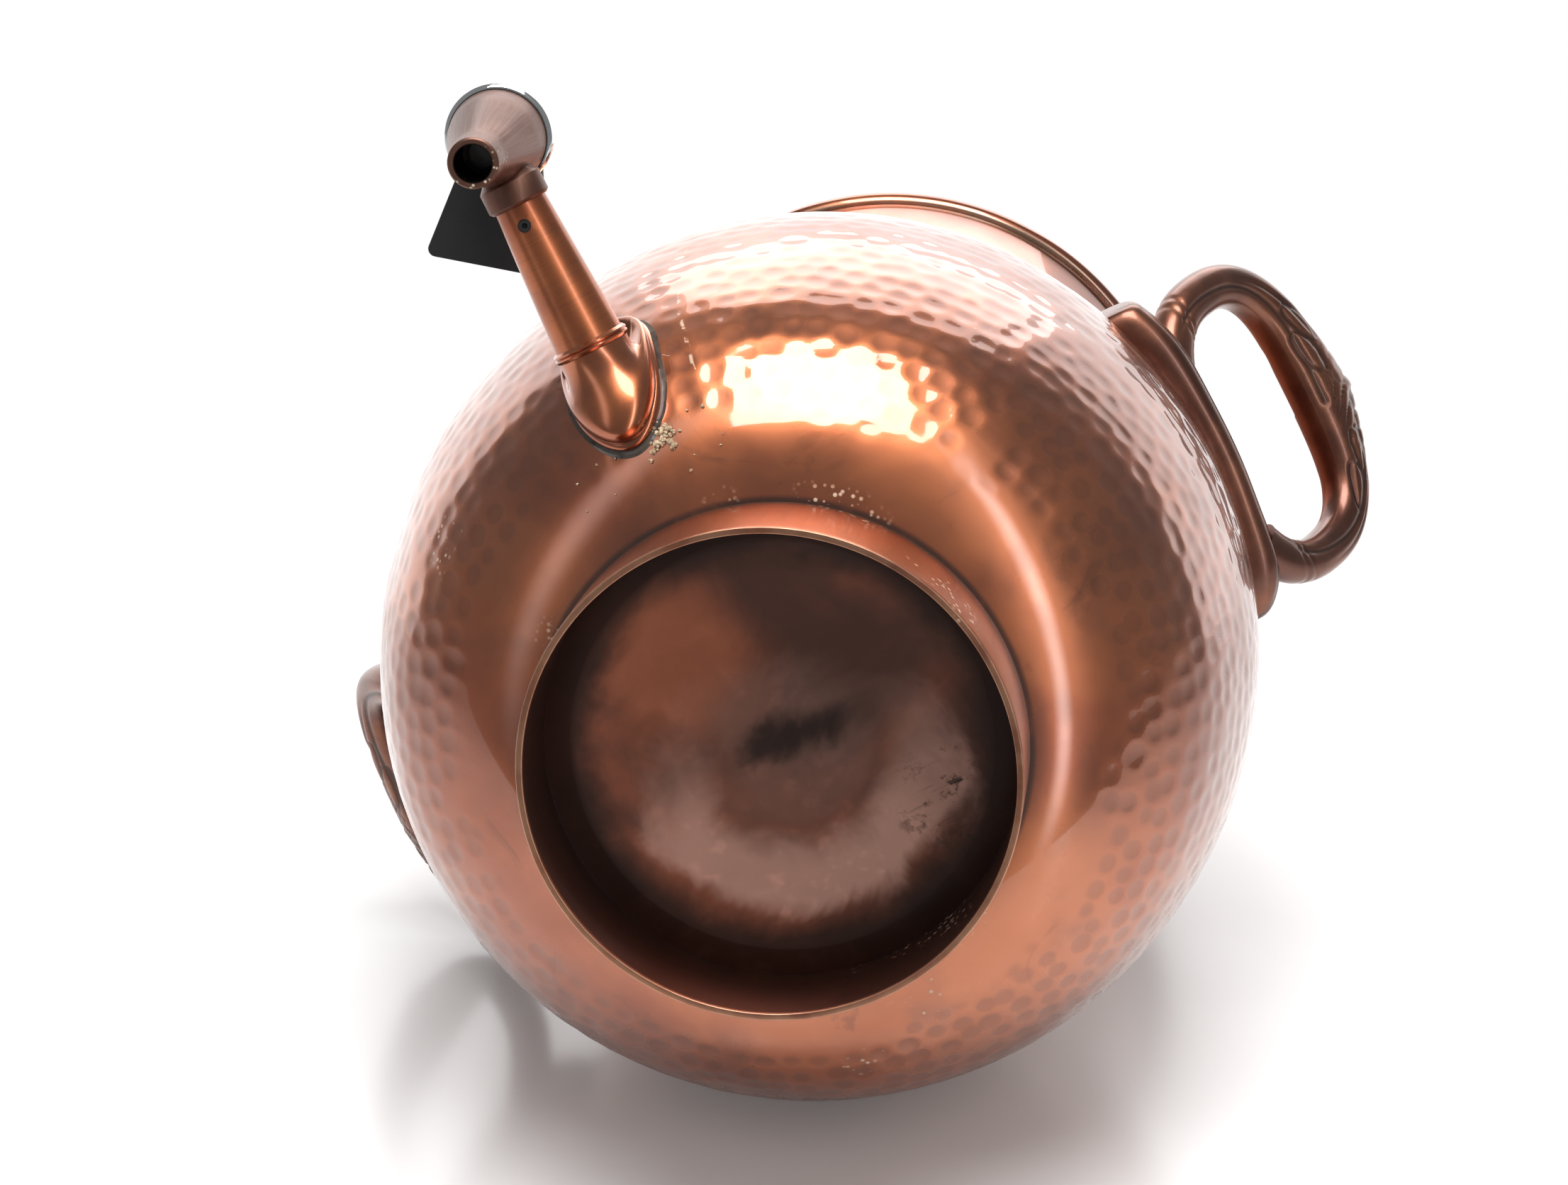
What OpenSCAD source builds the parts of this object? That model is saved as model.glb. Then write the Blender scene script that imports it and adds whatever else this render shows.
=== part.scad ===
// Copper kettle with a side tap, a foot ring, two raised handles and a loose lid.
// +Z is up, the origin is at the centre of the foot ring's lower edge,
// the spout points along -Y and the handles stand at +X and -X.

/* [Body] */
// Largest outer radius of the belly
belly_r = 170; // [150:1:190]
// Height of the widest circle above the table
belly_z = 178; // [165:1:190]
// Radius of the side's curve above and below the widest circle
side_curve_r = 240; // [225:1:290]
// Outer radius of the neck where it is narrowest
neck_r = 114; // [104:1:120]
// Height of the narrowest part of the neck
neck_z = 436; // [420:1:450]
// Height of the mouth bead's centre
rim_z = 490; // [480:1:500]
// Radius of the round bead at the mouth
bead_r = 4; // [3:0.25:4.5]
// Thickness of the spun copper wall
wall = 1.5; // [1:0.1:2]
// Rise of the dished bottom at its centre
bottom_rise = 8; // [4:0.5:12]

/* [Foot ring] */
// Outer radius of the foot ring at the table
foot_r = 92; // [88:1:96]
// Height of the foot ring
foot_h = 46; // [40:1:50]
// Thickness of the foot ring
foot_wall = 2.6; // [2:0.1:3]
// Inward lean of the foot ring from bottom to top
foot_lean = 1; // [0:0.25:1.5]

/* [Handles] */
// Height of the middle of the handle straps
strap_z = 230; // [222:1:240]
// Height of a strap
strap_h = 30; // [26:1:34]
// Thickness of a strap over the belly
strap_t = 11; // [8:0.5:12]
// Length of a strap round the belly
strap_len = 136; // [124:1:140]
// Height at which the middle plane of a grip meets the belly
grip_z = 228; // [222:1:236]
// Distance across a grip between its two side bars, centre to centre
grip_w = 114; // [106:1:118]
// Reach of a grip from the strap to the middle of its top bar
grip_reach = 75; // [68:1:80]
// Upward slope of a grip from horizontal
grip_slope = 58; // [54:1:62]
// Half thickness of a grip's side bars
grip_bar = 9; // [8:0.25:9.5]
// Radius of the handle screws
handle_screw_r = 2.5; // [2:0.25:3]

/* [Spout] */
// Height of the spout tube's axis where it meets the tap
spout_z = 75; // [72:1:80]
// Slope of the spout tube up to the tap
spout_rise = 4; // [0:0.5:6]
// Distance from the kettle's axis to the start of the tube
tube_start = 162; // [160:1:168]
// Length of the tapered tube
tube_len = 55; // [50:1:62]
// Outer radius of the tube at the kettle end
tube_r1 = 13.2; // [12.6:0.2:14]
// Outer radius of the tube at the tap end
tube_r2 = 10; // [9.75:0.25:11]
// Radius of the bore through the spout
spout_bore_r = 7.5; // [6.5:0.25:7.75]
// Width of the oval flange on the belly
flange_w = 37; // [34:1:40]
// Height of the oval flange on the belly
flange_h = 49; // [45:1:52]
// Height of the middle of the oval flange
flange_z = 79; // [76:1:82]
// Thickness of the silicone gasket
gasket_t = 0.8; // [0.5:0.1:1.2]

/* [Tap] */
// Distance from the tube's end to the tap's axis
tap_offset = 24; // [23:1:28]
// Drop from the tube's axis to the outlet
outlet_drop = 40; // [38:1:44]
// Rise from the tube's axis to the top of the tap body
tap_rise = 18; // [16:1:20]
// Outer radius of the outlet
outlet_r = 9.4; // [8.75:0.05:10]
// Radius of the outlet bore
outlet_bore_r = 6.9; // [6:0.1:7.5]
// Outer radius of the top of the tap body
tap_top_r = 18.2; // [17.5:0.1:19]
// Outer radius of the socket that meets the tube
socket_r = 11.9; // [11.5:0.1:12.5]
// Outer radius of the chromed bonnet
bonnet_r = 20; // [19.75:0.25:21]
// Height of the chromed bonnet
bonnet_h = 15; // [14:0.5:17]

/* [Lever] */
// Reach of the lever from the tap's axis to its far edge
lever_reach = 54; // [48:1:60]
// Width of the lever at its far edge
lever_w = 46; // [40:1:50]
// Thickness of the lever's paddle
lever_t = 3; // [2.5:0.25:4]
// Turn of the lever away from the kettle's axis
lever_turn = 37; // [0:1:60]

/* [Lid] */
// Height of the lid's dome over the mouth
lid_rise = 26; // [20:1:34]
// Height of the knob
knob_h = 34; // [28:1:40]
// Radius of the knob
knob_r = 15; // [13:0.5:18]

/* [Hidden] */
$fn = 96;

copper = "#a5603c";
dark_copper = "#7a4630";
steel = "#c8cacc";
black = "#1c1c1e";
clear_silicone = "#d8d6c8";

// ---- Profile of the spun body, made of arcs that meet without a corner ----
// Each arc is [centre radius, centre height, arc radius, first angle, last angle, side],
// where side is 1 for an arc that bulges outwards and -1 for one that curves inwards.
base_z = foot_h - 3;
flat_r = 78;
corner_h = belly_z - base_z;
corner_k = flat_r - belly_r + side_curve_r;
corner_arc = (side_curve_r^2 - corner_h^2 - corner_k^2) / (2 * (side_curve_r - corner_h));
corner_turn = -atan2(corner_h - corner_arc, corner_k);
neck_turn = 2 * atan((belly_r - neck_r) / (neck_z - belly_z));
neck_arc = (neck_z - belly_z) / sin(neck_turn) - side_curve_r;
bead_c = neck_r + 8.4;
flare_h = rim_z - bead_r * 0.7 - neck_z;
flare_w = bead_c - neck_r;
flare_arc = (flare_h^2 + flare_w^2) / (2 * flare_w);
flare_turn = asin(flare_h / flare_arc);
dish_arc = (flat_r^2 + bottom_rise^2) / (2 * bottom_rise);
dish_turn = asin(flat_r / dish_arc);

arcs = [
    [flat_r, base_z + corner_arc, corner_arc, -90, corner_turn, 1, 10],
    [belly_r - side_curve_r, belly_z, side_curve_r, corner_turn, 0, 1, 6],
    [belly_r - side_curve_r, belly_z, side_curve_r, 0, neck_turn, 1, 8],
    [neck_r + neck_arc, neck_z, neck_arc, 180 + neck_turn, 180, -1, 12],
    [neck_r + flare_arc, neck_z, flare_arc, 180, 180 - flare_turn, -1, 6]
];
function arc_points(a, out, first) = [
    for (i = [first : a[6]])
        let (t = a[3] + (a[4] - a[3]) * i / a[6], r = a[2] + a[5] * out)
            [a[0] + r * cos(t), a[1] + r * sin(t)]
];
function dish_points(out) = [
    for (i = [0 : 5])
        let (t = dish_turn * i / 6, r = dish_arc + out)
            [r * sin(t), base_z + bottom_rise - dish_arc + r * cos(t)]
];
function side_points(out) = [
    for (k = [0 : len(arcs) - 1])
        each arc_points(arcs[k], out, k == 0 ? 0 : 1)
];
function skin(out) = concat(dish_points(-out), side_points(out));
// Outer radius of the belly at a height between the corner and the neck
function belly_at(z) = belly_r - side_curve_r + sqrt(side_curve_r^2 - (z - belly_z)^2);
function corner_at(z) = flat_r + sqrt(corner_arc^2 - (base_z + corner_arc - z)^2);

module solid_of(out) {
    points = skin(out);
    last = points[len(points) - 1];
    rotate_extrude() polygon(concat(points, [[0, last[1]]]));
}

// ---- Places that several pieces share ----
fit = 0.05;
strap_slope = asin((strap_z - belly_z) / side_curve_r);
strap_shift = 4;
screw_turn = 17;
screw_len = 8;
washer_drop = 1.2;
flange_y = corner_at(flange_z);
flange_slope = asin((base_z + corner_arc - flange_z) / corner_arc);
flange_t = 2.4;
spigot_r = 10;
spigot_len = 10;
boss_r = 21;
spout_washer_t = 2.6;
spout_nut_r = 16;
spout_nut_h = 5;
ring_h = 4;
ring_step = 0.6;
tube_end = tube_start + tube_len;
tap_y = tube_end + tap_offset;
outlet_z = spout_z - outlet_drop;
tap_top = spout_z + tap_rise;
seat_z = spout_z - 17;
seat_bore_r = 5.2;
cup_r = 8.4;
chamber_r = 10.8;
stem_r = 3;
thread_r = 15.5;
bonnet_top = tap_top + bonnet_h;
washer_t = 1;
foot_half = 5.5;
pin_rise = 6;
pin_z = bonnet_top + washer_t + pin_rise;
pin_r = 1.5;
head_r = 7;
lever_z = pin_z + 3;
// The stem ends this far above the pin and the lever's slot clears it when the lever tilts
stem_over = 2.4;
slot_over = 3.8;
seat_top = rim_z + bead_r;
mouth_r = bead_c - bead_r;
skirt_r = mouth_r - 0.6;
lid_t = 1.2;
lid_edge_r = bead_c + 1.5;
dome_edge_r = 96;
dome_arc = (dome_edge_r^2 + lid_rise^2) / (2 * lid_rise);
lid_top = seat_top + lid_t + lid_rise;
collar_r = 20;
collar_top = 4.4;
knob_hole_r = 2.8;
knob_screw_r = 2.5;
knob_washer_t = 1.2;
knob_washer_z = lid_top - lid_t - knob_washer_t - 0.2;

module along_spout(y) {
    translate([0, -tap_y, spout_z]) rotate([-spout_rise, 0, 0]) translate([0, tap_y - y, 0])
        rotate([90, 0, 0]) children();
}
module on_flange() {
    translate([0, -flange_y, flange_z]) rotate([90 + flange_slope, 0, 0]) children();
}
module at_tap() {
    translate([0, -tap_y, 0]) children();
}
module ring(outer, inner, h) {
    difference() {
        cylinder(h = h, r = outer);
        translate([0, 0, -1]) cylinder(h = h + 2, r = inner);
    }
}
module torus(big, small) {
    rotate_extrude() translate([big, 0]) circle(small, $fn = 32);
}
module mirrored(side) {
    if (side > 0) children();
    else mirror([1, 0, 0]) children();
}
// A stadium-shaped bar along Z, w wide in X and h tall in Y
module stadium(w, h, length) {
    translate([-w / 2, -(h - w) / 2, 0]) cube([w, h - w, length]);
    for (s = [-1, 1]) translate([0, s * (h - w) / 2, 0]) cylinder(h = length, r = w / 2);
}

// ---- Body ----
module body_shell() {
    color(copper) difference() {
        union() {
            rotate_extrude() polygon(concat(skin(0), skin_back()));
            translate([0, 0, rim_z]) rotate_extrude() translate([bead_c, 0]) circle(bead_r, $fn = 48);
        }
        translate([0, 0, rim_z]) torus(bead_c, bead_r - wall);
        on_flange() translate([0, 0, -12]) cylinder(h = 24, r = spigot_r + 0.5);
        screw_places() translate([0, 0, -5]) cylinder(h = 10, r = handle_screw_r + 0.3);
    }
}
function skin_back() = let (p = skin(-wall), n = len(p)) [for (i = [n - 1 : -1 : 0]) p[i]];
module rim_wire() {
    color(dark_copper) translate([0, 0, rim_z]) torus(bead_c, bead_r - wall - fit);
}
module foot_ring() {
    top_r = foot_r - foot_lean;
    color(copper) difference() {
        rotate_extrude() polygon([
            [foot_r - foot_wall, 0],
            [foot_r - 0.4, 0],
            [foot_r, 0.8],
            [top_r, foot_h + 4],
            [top_r - foot_wall, foot_h + 4]
        ]);
        solid_of(0);
    }
}

// ---- Handles ----
module strap_band() {
    mid = belly_at(strap_z);
    low = belly_at(strap_z - strap_h / 2);
    high = belly_at(strap_z + strap_h / 2);
    rotate_extrude() polygon([
        [low - 6, strap_z - strap_h / 2],
        [low + strap_t * 0.45, strap_z - strap_h / 2],
        [low + strap_t * 0.9, strap_z - strap_h / 2 + 4],
        [mid + strap_t + 0.8, strap_z - 3],
        [mid + strap_t + 0.2, strap_z + 3],
        [high + strap_t * 0.9, strap_z + strap_h / 2 - 4],
        [high + strap_t * 0.45, strap_z + strap_h / 2],
        [high - 6, strap_z + strap_h / 2]
    ]);
}
module strap(side) {
    mirrored(side) difference() {
        intersection() {
            strap_band();
            translate([100, strap_shift, strap_z]) rotate([90, 0, 90]) strap_outline();
        }
        solid_of(0);
        screw_place(-1) cylinder(h = screw_len, r = handle_screw_r);
        screw_place(1) cylinder(h = screw_len, r = handle_screw_r);
    }
}
// Outline of a strap: one end nearly square, the other round
module strap_outline() {
    half = strap_len / 2;
    round_r = strap_h / 2;
    square_r = 6;
    translate([-half + square_r, -strap_h / 2, 0]) cube([strap_len - square_r - round_r, strap_h, 80]);
    translate([-half, -strap_h / 2 + square_r, 0]) cube([square_r, strap_h - 2 * square_r, 80]);
    for (s = [-1, 1]) translate([-half + square_r, s * (strap_h / 2 - square_r), 0])
        cylinder(h = 80, r = square_r);
    translate([half - round_r, 0, 0]) cylinder(h = 80, r = round_r);
}
module screw_place(end) {
    rotate([0, 0, end * screw_turn + 0.7]) translate([belly_at(strap_z), 0, strap_z])
        rotate([0, 90 - strap_slope, 0]) translate([0, 0, -wall]) children();
}
module screw_places() {
    for (side = [-1, 1]) mirrored(side)
        for (end = [-1, 1]) screw_place(end) children();
}
module handle_washers() {
    color(steel) screw_places() translate([0, 0, -washer_drop]) ring(6, handle_screw_r + 0.3, 1);
}
module handle_screws() {
    color(steel) screw_places() {
        translate([0, 0, -washer_drop])
            cylinder(h = screw_len + washer_drop - fit, r = handle_screw_r - fit);
        translate([0, 0, -washer_drop]) screw_head();
    }
}

// A grip is swept along a flattened arch that leans outwards by grip_slope.
// The arch lies in the plane of the across and up directions below.
grip_steps = 44;
grip_sides = 24;
grip_squareness = 0.86;
grip_low = 56;
grip_shift = 7;
grip_mid = 35;
knuckle_turn = 86;
knuckle = 5;
function power(v, n) = sign(v) * abs(v)^n;
function bump(t, centre, width) = exp(-((t - centre) / width)^2);
function arch(t) = [
    grip_shift + grip_w / 2 * power(cos(t), 0.75),
    grip_mid + (grip_reach - grip_mid) * power(sin(t), 0.85) + knuckle * bump(t, knuckle_turn, 9)
];
function arch_normal(t) = let (d = arch(t + 1) - arch(t - 1), n = [d[1], -d[0]]) n / norm(n);
function bar_in(t) = grip_bar + 3.2 * bump(t, knuckle_turn, 32);
function bar_out(t) = grip_bar - 0.5 + 2.5 * bump(t, knuckle_turn, 40);
function grip_point(t, a) = let (
    p = arch(t),
    n = arch_normal(t),
    q = p + n * bar_in(t) * power(cos(a), grip_squareness),
    w = bar_out(t) * power(sin(a), grip_squareness)
) [
    belly_at(grip_z) + q[1] * cos(grip_slope) - w * sin(grip_slope),
    q[0],
    grip_z + q[1] * sin(grip_slope) + w * cos(grip_slope)
];
module grip_sweep() {
    points = [
        for (i = [0 : grip_steps], j = [0 : grip_sides - 1])
            grip_point(180 + grip_low - (180 + 2 * grip_low) * i / grip_steps, 360 * j / grip_sides)
    ];
    sides = [
        for (i = [0 : grip_steps - 1], j = [0 : grip_sides - 1])
            let (a = i * grip_sides + j, b = i * grip_sides + (j + 1) % grip_sides)
                [a, b, b + grip_sides, a + grip_sides]
    ];
    first = [for (j = [grip_sides - 1 : -1 : 0]) j];
    last = [for (j = [0 : grip_sides - 1]) grip_steps * grip_sides + j];
    polyhedron(points, concat(sides, [first, last]), convexity = 6);
}
module grip(side) {
    mirrored(side) difference() {
        grip_sweep();
        strap_band();
        solid_of(0);
        cylinder(h = strap_z - strap_h / 2 + 1, r = belly_r + 60);
    }
}
module strap_right() { color(dark_copper) strap(1); }
module strap_left() { color(dark_copper) strap(-1); }
module grip_right() { color(dark_copper) grip(1); }
module grip_left() { color(dark_copper) grip(-1); }

// ---- Spout ----
module flange_slab(grow, from, to) {
    intersection() {
        difference() {
            solid_of(to);
            solid_of(from);
        }
        translate([0, -flange_y + 40, flange_z]) rotate([90, 0, 0])
            stadium(flange_w + 2 * grow, flange_h + 2 * grow, 80);
    }
}
module spout_gasket() {
    color(clear_silicone) difference() {
        flange_slab(1.4, 0, gasket_t);
        on_flange() translate([0, 0, -20]) cylinder(h = 40, r = spigot_r + 0.5);
    }
}
// The boss runs from inside the belly, where it is cut away, to the grooved ring
module spout_flange() {
    sunk = 30;
    color(copper) difference() {
        union() {
            difference() {
                union() {
                    flange_slab(0, gasket_t, gasket_t + flange_t);
                    along_spout(flange_y - sunk) cylinder(
                        h = tube_start - ring_h - flange_y + sunk,
                        r1 = boss_r,
                        r2 = tube_r1 + ring_step
                    );
                }
                solid_of(gasket_t);
            }
            on_flange() translate([0, 0, -spigot_len]) cylinder(h = spigot_len + 4, r = spigot_r);
        }
        on_flange() translate([0, 0, -spigot_len - 1])
            cylinder(h = 2 * spigot_len, r = spout_bore_r);
        along_spout(flange_y - 2) cylinder(h = 60, r = spout_bore_r);
    }
}
// The washer is formed to the inside of the belly, with a flat face for the nut
module spout_washer() {
    color(steel) intersection() {
        solid_of(-wall);
        on_flange() translate([0, 0, -wall - spout_washer_t])
            ring(spout_nut_r, spigot_r + 0.3, spout_washer_t + 3);
    }
}
module spout_nut() {
    color(steel) on_flange() translate([0, 0, -wall - spout_washer_t - spout_nut_h]) difference() {
        cylinder(h = spout_nut_h, r = spout_nut_r, $fn = 6);
        translate([0, 0, -1]) cylinder(h = spout_nut_h + 2, r = spigot_r);
    }
}
module spout_ring() {
    color(copper) along_spout(tube_start - ring_h) rotate_extrude() polygon([
        [spout_bore_r, 0],
        [tube_r1 + ring_step, 0],
        [tube_r1 + 1.4, 1],
        [tube_r1 + 1.4, 1.6],
        [tube_r1 + 0.9, 2],
        [tube_r1 + 1.4, 2.4],
        [tube_r1 + 1.4, 3],
        [tube_r1 + 0.4, ring_h],
        [spout_bore_r, ring_h]
    ]);
}
tip_bore_r = 8;
socket_len = 15;
module spout_tube() {
    color(copper) difference() {
        along_spout(tube_start) cylinder(h = tube_len, r1 = tube_r1, r2 = tube_r2);
        along_spout(tube_start - 1) cylinder(h = tube_len + 2, r = spout_bore_r);
        along_spout(tube_end - socket_len) cylinder(h = socket_len + 1, r = tip_bore_r);
        lock_place() translate([0, 0, -1]) cylinder(h = 12, r = 2.5);
    }
}
module lock_place() {
    along_spout(tube_end - 7.5) translate([0, -tip_bore_r + 1.2, 0]) rotate([90, 0, 0]) children();
}
module tap_lock_screw() {
    color(steel) lock_place() difference() {
        cylinder(h = 3, r = 2.5 - fit);
        translate([0, 0, 1.5]) cylinder(h = 2, r = 1.2, $fn = 6);
    }
}

// ---- Tap ----
module tap_body() {
    spigot = tip_bore_r - fit;
    color(copper) difference() {
        union() {
            at_tap() translate([0, 0, outlet_z]) rotate_extrude() polygon([
                [0, 0],
                [outlet_r - 0.6, 0],
                [outlet_r, 0.6],
                [outlet_r + 0.5, 12],
                [tap_top_r - 1.2, outlet_drop + tap_rise - 14],
                [tap_top_r, outlet_drop + tap_rise - 3],
                [thread_r, outlet_drop + tap_rise - 3],
                [thread_r, outlet_drop + tap_rise + 5],
                [0, outlet_drop + tap_rise + 5]
            ]);
            along_spout(tube_end) rotate_extrude() polygon([
                [0, 0],
                [socket_r - 1.2, 0],
                [socket_r, 1.2],
                [socket_r, 9],
                [socket_r - 2.5, 12],
                [socket_r - 2.5, tap_offset],
                [0, tap_offset]
            ]);
            along_spout(tube_end - socket_len + 1) cylinder(h = socket_len + 1, r = spigot);
        }
        at_tap() translate([0, 0, outlet_z - 1]) cylinder(h = seat_z - outlet_z - 2, r = outlet_bore_r);
        at_tap() translate([0, 0, outlet_z]) cylinder(h = 60, r = seat_bore_r);
        at_tap() translate([0, 0, seat_z]) cylinder(h = 60, r = chamber_r);
        along_spout(tube_end - socket_len) cylinder(h = socket_len + tap_offset, r = 5.5);
        for (y = seal_places) along_spout(y) torus(spigot, 1);
        lock_place() translate([0, 0, -1]) cylinder(h = 5, r = 2.5);
    }
}
seal_places = [tube_end - socket_len + 3.2, tube_end - 2.6];
module tap_seals() {
    color(black) for (y = seal_places) along_spout(y) intersection() {
        torus(tip_bore_r - fit, 1 - fit);
        translate([0, 0, -2]) cylinder(h = 4, r = tip_bore_r - fit);
    }
}
module tap_bezel() {
    color(black) at_tap() translate([0, 0, tap_top - 3]) ring(tap_top_r + 0.3, thread_r + fit, 1.2);
}
module tap_bonnet() {
    color(steel) at_tap() difference() {
        translate([0, 0, tap_top - 1.8]) rotate_extrude() polygon([
            [stem_r + fit, bonnet_h - 1.2],
            [thread_r + fit, bonnet_h - 1.2],
            [thread_r + fit, 0],
            [bonnet_r - 1, 0],
            [bonnet_r, 1],
            [bonnet_r, bonnet_h - 2],
            [bonnet_r - 3.5, bonnet_h + 1.8],
            [stem_r + fit, bonnet_h + 1.8]
        ]);
        for (i = [0 : 7]) rotate([0, 0, 45 * i + 22.5])
            translate([bonnet_r + 2.4, 0, tap_top + 2]) cylinder(h = bonnet_h, r = 4);
    }
}
module bonnet_seal() {
    low = tap_top + 5;
    color(black) at_tap() translate([0, 0, low])
        ring(thread_r - 1, stem_r + 1, tap_top - 1.8 + bonnet_h - 1.2 - low);
}

// ---- Valve ----
module thrust_washer() {
    color(black) at_tap() translate([0, 0, bonnet_top]) ring(9, stem_r + fit, washer_t);
}
cup_h = 6;
cup_floor = 3;
collar_h = 1.5;
module valve_stem() {
    foot_z = seat_z + cup_floor;
    color(steel) difference() {
        at_tap() {
            translate([0, 0, foot_z]) cylinder(h = pin_z + stem_over - foot_z, r = stem_r);
            translate([0, 0, seat_z + cup_h]) cylinder(h = collar_h, r = cup_r - 1);
        }
        at_lever() translate([-head_r, 0, pin_z]) rotate([0, 90, 0])
            cylinder(h = 2 * head_r, r = pin_r);
    }
}
module seat_cup() {
    color(clear_silicone) at_tap() translate([0, 0, seat_z]) rotate_extrude() polygon([
        [0, 0],
        [cup_r - 1.4, 0],
        [cup_r, 1.4],
        [cup_r, cup_h],
        [stem_r, cup_h],
        [stem_r, cup_floor],
        [0, cup_floor]
    ]);
}
spring_low = seat_z + cup_h + collar_h;
spring_high = tap_top + 5;
spring_turns = 6;
spring_r = 6.2;
spring_wire = 0.55;
module valve_spring() {
    steps = spring_turns * 14;
    sides = 6;
    h = spring_high - spring_low - 2 * spring_wire - 0.2;
    points = [
        for (i = [0 : steps], j = [0 : sides - 1])
            let (t = 360 * spring_turns * i / steps, r = spring_r + spring_wire * cos(60 * j))
                [
                    r * cos(t),
                    r * sin(t),
                    spring_low + spring_wire + 0.1 + h * i / steps + spring_wire * sin(60 * j)
                ]
    ];
    faces = [
        for (i = [0 : steps - 1], j = [0 : sides - 1])
            let (a = i * sides + j, b = i * sides + (j + 1) % sides)
                [a, b, b + sides, a + sides]
    ];
    first = [for (j = [sides - 1 : -1 : 0]) j];
    last = [for (j = [0 : sides - 1]) steps * sides + j];
    color(steel) at_tap() mirror([1, 0, 0])
        polyhedron(points, concat(faces, [first, last]), convexity = 8);
}

// ---- Lever ----
module at_lever() {
    translate([0, -tap_y, 0]) rotate([0, 0, lever_turn]) children();
}
hub_r = 12;
module paddle() {
    near_w = 2 * hub_r;
    corner = 3;
    hull() {
        for (s = [-1, 1]) {
            translate([s * (lever_w / 2 - corner), lever_reach - corner, 0])
                cylinder(h = lever_t, r = corner, $fn = 32);
            translate([s * (near_w / 2 - 1), 2, 0]) cylinder(h = lever_t, r = 1, $fn = 32);
        }
    }
}
module lever() {
    slot_half = stem_r + 0.3;
    color(black) at_lever() difference() {
        union() {
            translate([0, 0, lever_z]) paddle();
            translate([0, 0, lever_z]) cylinder(h = lever_t, r = hub_r);
            translate([-head_r, -foot_half, pin_z - pin_rise])
                cube([2 * head_r, 2 * foot_half, pin_rise + slot_over]);
            translate([-head_r, 0, pin_z]) rotate([0, 90, 0])
                cylinder(h = 2 * head_r, r = foot_half - 0.1);
        }
        translate([-slot_half, -hub_r, pin_z - pin_rise - 1])
            cube([2 * slot_half, 2 * hub_r, pin_rise + 1 + slot_over]);
        translate([-head_r - 1, 0, pin_z]) rotate([0, 90, 0])
            cylinder(h = 2 * head_r + 2, r = pin_r + fit);
    }
}
module lever_pin() {
    color(steel) at_lever() translate([-head_r, 0, pin_z]) rotate([0, 90, 0])
        cylinder(h = 2 * head_r, r = pin_r - fit / 2);
}

// ---- Lid ----
function dome_curve(up) = [
    for (i = [0 : 12])
        let (t = asin(dome_edge_r / dome_arc) * (1 - i / 12))
            [dome_arc * sin(t), up + lid_rise - dome_arc * (1 - cos(t))]
];
// The lid's outside as a solid, from its flat rim to the top of the dome
module lid_outside() {
    translate([0, 0, seat_top]) rotate_extrude() polygon(concat(
        [[0, 0], [lid_edge_r - 0.6, 0], [lid_edge_r, 0.6], [lid_edge_r - 0.6, lid_t]],
        dome_curve(lid_t)
    ));
}
module lid_dome() {
    color(copper) difference() {
        lid_outside();
        translate([0, 0, seat_top]) rotate_extrude()
            polygon(concat([[0, -1], [dome_edge_r, -1]], dome_curve(0)));
        translate([0, 0, seat_top]) cylinder(h = 2 * lid_rise, r = knob_hole_r);
    }
}
module lid_skirt() {
    color(copper) translate([0, 0, seat_top - 14]) difference() {
        cylinder(h = 14, r = skirt_r);
        translate([0, 0, -1]) cylinder(h = 16, r = skirt_r - 1.2);
    }
}
module lid_seal() {
    color(clear_silicone) translate([0, 0, seat_top - 9]) ring(skirt_r + 0.4, skirt_r, 3);
}
module knob_collar() {
    color(dark_copper) difference() {
        translate([0, 0, lid_top]) rotate_extrude() polygon([
            [knob_hole_r, -1],
            [collar_r, -2],
            [collar_r, 0.6],
            [collar_r - 6, 2.8],
            [collar_r - 12, collar_top],
            [knob_hole_r, collar_top]
        ]);
        lid_outside();
    }
}
module lid_knob() {
    base = lid_top + collar_top;
    color(copper) difference() {
        union() {
            translate([0, 0, base]) cylinder(h = knob_h - knob_r, r1 = 8, r2 = 6);
            translate([0, 0, base + knob_h - knob_r]) sphere(knob_r);
        }
        translate([0, 0, base - 1]) cylinder(h = 15, r = knob_screw_r);
    }
}
module knob_washer() {
    color(steel) translate([0, 0, knob_washer_z]) ring(7, knob_hole_r, knob_washer_t);
}
module knob_screw() {
    color(steel) translate([0, 0, knob_washer_z]) {
        cylinder(h = 18, r = knob_screw_r - fit);
        screw_head();
    }
}
// A slotted head with its bearing face at height 0
module screw_head() {
    translate([0, 0, -2.5]) difference() {
        cylinder(h = 2.5, r = 4.6);
        translate([-5, -0.6, -1]) cube([10, 1.2, 2]);
    }
}

body_shell();
rim_wire();
foot_ring();
strap_right();
strap_left();
grip_right();
grip_left();
handle_screws();
handle_washers();
spout_gasket();
spout_flange();
spout_washer();
spout_nut();
spout_ring();
spout_tube();
tap_body();
tap_seals();
tap_lock_screw();
tap_bezel();
tap_bonnet();
bonnet_seal();
thrust_washer();
valve_stem();
seat_cup();
valve_spring();
lever();
lever_pin();
lid_dome();
lid_skirt();
lid_seal();
knob_collar();
lid_knob();
knob_washer();
knob_screw();
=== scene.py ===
# Hammered copper kettle with a lever tap, lying on its side on a pale studio floor.
# The kettle's axis is Z, its foot ring stands at height 0, the spout points along -Y.
import math

import bmesh
import bpy
import numpy as np
from mathutils import Matrix


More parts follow.
